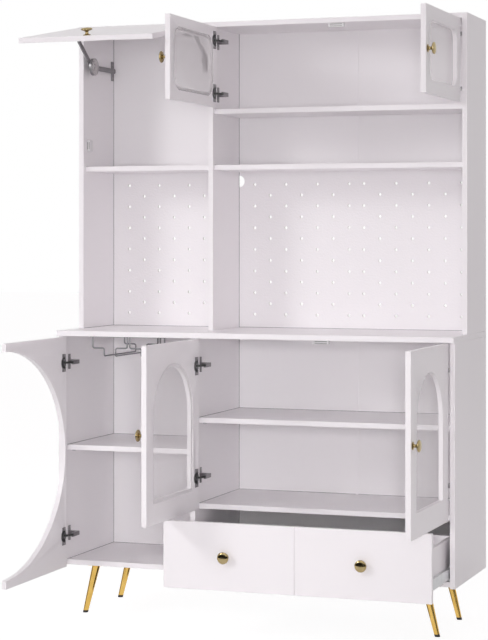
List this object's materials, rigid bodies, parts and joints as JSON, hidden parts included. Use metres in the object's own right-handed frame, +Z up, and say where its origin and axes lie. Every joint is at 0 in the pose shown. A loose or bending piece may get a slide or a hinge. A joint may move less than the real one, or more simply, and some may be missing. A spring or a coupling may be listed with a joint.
{
  "type": "tall cabinet",
  "caption": "Tall white kitchen cabinet on splayed legs, with a pegboard hutch, glazed hinged doors, a curved open-sided door, a lifting flap and a wide drawer.",
  "frame": {"origin": "on the floor, at mid-width, in the plane of the back edges", "axes": "+X to the right seen from the front, +Y to the back, +Z up"},
  "size_m": [1.2038, 0.8043, 1.75],
  "materials": {
    "white_board": "satin white melamine facing",
    "white_back": "smooth white-faced fibreboard",
    "gold_leg": "satin gold coating",
    "black_foot": "matt",
    "brass_knob": "polished",
    "clear_pane": "clear",
    "fluted_pane": "fluted",
    "hinge_steel": "dark nickel plate",
    "stay_steel": "grey satin",
    "rail_steel": "zinc plate",
    "rack_wire": "bright plate",
    "white_plastic": "smooth"
  },
  "bodies": {
    "cabinet": {"base_left_panel": "white_board", "base_right_panel": "white_board", "base_bottom_panel": "white_board", "base_divider": "white_board", "drawer_deck": "white_board", "base_left_shelf": "white_board", "base_right_shelf": "white_board", "countertop": "white_board", "hutch_left_panel": "white_board", "hutch_right_panel": "white_board", "hutch_top_panel": "white_board", "hutch_divider": "white_board", "hutch_left_shelf": "white_board", "hutch_right_shelves": "white_board", "back_boards": "white_back", "back_joint_strips": "white_plastic", "pegboards": "white_back", "legs": "gold_leg", "leg_feet": "black_foot", "base_hinge_arms": "hinge_steel", "hutch_hinge_arms": "hinge_steel", "stay_plates": "stay_steel", "drawer_channels": "rail_steel", "glass_rack": "rack_wire", "magnet_catches": "white_plastic", "shelf_pins": "white_plastic"},
    "curved_door_link": {"curved_door_hinge_links": "hinge_steel"},
    "curved_door": {"curved_door_panel": "white_board", "curved_door_hinge_cups": "hinge_steel"},
    "left_arch_door_link": {"left_arch_door_hinge_links": "hinge_steel"},
    "left_arch_door": {"left_arch_door_panel": "white_board", "left_arch_door_pane": "fluted_pane", "left_arch_door_knob": "brass_knob", "left_arch_door_hinge_cups": "hinge_steel"},
    "right_arch_door_link": {"right_arch_door_hinge_links": "hinge_steel"},
    "right_arch_door": {"right_arch_door_panel": "white_board", "right_arch_door_pane": "fluted_pane", "right_arch_door_knob": "brass_knob", "right_arch_door_hinge_cups": "hinge_steel"},
    "left_upper_door_link": {"left_upper_door_hinge_links": "hinge_steel"},
    "left_upper_door": {"left_upper_door_panel": "white_board", "left_upper_door_pane": "clear_pane", "left_upper_door_knob": "brass_knob", "left_upper_door_hinge_cups": "hinge_steel"},
    "right_upper_door_link": {"right_upper_door_hinge_links": "hinge_steel"},
    "right_upper_door": {"right_upper_door_panel": "white_board", "right_upper_door_pane": "clear_pane", "right_upper_door_knob": "brass_knob", "right_upper_door_hinge_cups": "hinge_steel"},
    "flap": {"flap_panel": "white_board", "flap_knob": "brass_knob", "flap_hinge_cups": "hinge_steel", "stay_flap_brackets": "stay_steel"},
    "stay_lower": {"stay_lower_arms": "stay_steel"},
    "stay_upper": {"stay_upper_arms": "stay_steel"},
    "drawer": {"drawer_front": "white_board", "drawer_box_boards": "white_board", "drawer_floor_board": "white_back", "drawer_knobs": "brass_knob", "drawer_runners": "rail_steel"}
  },
  "joints": [
    {"name": "curved_door_link_pivot", "type": "hinge", "parent": "cabinet", "child": "curved_door_link", "pos_m": [-0.557, -0.38, 0.485], "axis": [0, 0, 1], "range_deg": [-40, 2]},
    {"name": "curved_door_hinge", "type": "hinge", "parent": "curved_door_link", "child": "curved_door", "pos_m": [-0.57198, -0.4042, 0.485], "axis": [0, 0, 1], "range_deg": [-6, 129]},
    {"name": "left_arch_door_link_pivot", "type": "hinge", "parent": "cabinet", "child": "left_arch_door_link", "pos_m": [-0.139, -0.38, 0.5765], "axis": [0, 0, 1], "range_deg": [-40, 2]},
    {"name": "left_arch_door_hinge", "type": "hinge", "parent": "left_arch_door_link", "child": "left_arch_door", "pos_m": [-0.15398, -0.4042, 0.5765], "axis": [0, 0, 1], "range_deg": [-6, 130.7]},
    {"name": "right_arch_door_link_pivot", "type": "hinge", "parent": "cabinet", "child": "right_arch_door_link", "pos_m": [0.557, -0.38, 0.5765], "axis": [0, 0, -1], "range_deg": [-40, 2]},
    {"name": "right_arch_door_hinge", "type": "hinge", "parent": "right_arch_door_link", "child": "right_arch_door", "pos_m": [0.57198, -0.4042, 0.5765], "axis": [0, 0, -1], "range_deg": [-6, 129.2]},
    {"name": "left_upper_door_link_pivot", "type": "hinge", "parent": "cabinet", "child": "left_upper_door_link", "pos_m": [-0.139, -0.234, 1.615], "axis": [0, 0, 1], "range_deg": [-40, 2]},
    {"name": "left_upper_door_hinge", "type": "hinge", "parent": "left_upper_door_link", "child": "left_upper_door", "pos_m": [-0.15398, -0.2582, 1.615], "axis": [0, 0, 1], "range_deg": [0, 129.15]},
    {"name": "right_upper_door_link_pivot", "type": "hinge", "parent": "cabinet", "child": "right_upper_door_link", "pos_m": [0.557, -0.234, 1.615], "axis": [0, 0, -1], "range_deg": [-40, 2]},
    {"name": "right_upper_door_hinge", "type": "hinge", "parent": "right_upper_door_link", "child": "right_upper_door", "pos_m": [0.57198, -0.2582, 1.615], "axis": [0, 0, -1], "range_deg": [-6, 129.6]},
    {"name": "flap_hinge", "type": "hinge", "parent": "cabinet", "child": "flap", "pos_m": [-0.381, -0.2505, 1.744], "axis": [1, 0, 0], "range_deg": [0, 80.3]},
    {"name": "stay_lower_pivot", "type": "hinge", "parent": "cabinet", "child": "stay_lower", "pos_m": [-0.3835, -0.025, 1.632], "axis": [1, 0, 0], "range_deg": [0, 24.27]},
    {"name": "stay_upper_pivot", "type": "hinge", "parent": "flap", "child": "stay_upper", "pos_m": [-0.3835, -0.29998, 1.70006], "axis": [1, 0, 0], "range_deg": [-121.91, 0]},
    {"name": "drawer_slide", "type": "slide", "parent": "cabinet", "child": "drawer", "axis": [0, 1, 0], "range_m": [-0.05, 0.212]}
  ],
  "couplings": [
    {"joint": "curved_door_link_pivot", "follows": "curved_door_hinge", "ratio": -0.30853},
    {"joint": "left_arch_door_link_pivot", "follows": "left_arch_door_hinge", "ratio": -0.30451},
    {"joint": "right_arch_door_link_pivot", "follows": "right_arch_door_hinge", "ratio": -0.30805},
    {"joint": "left_upper_door_link_pivot", "follows": "left_upper_door_hinge", "ratio": -0.30817},
    {"joint": "right_upper_door_link_pivot", "follows": "right_upper_door_hinge", "ratio": -0.3071},
    {"joint": "stay_lower_pivot", "follows": "flap_hinge", "ratio": 0.296},
    {"joint": "stay_upper_pivot", "follows": "flap_hinge", "ratio": -1.512}
  ]
}
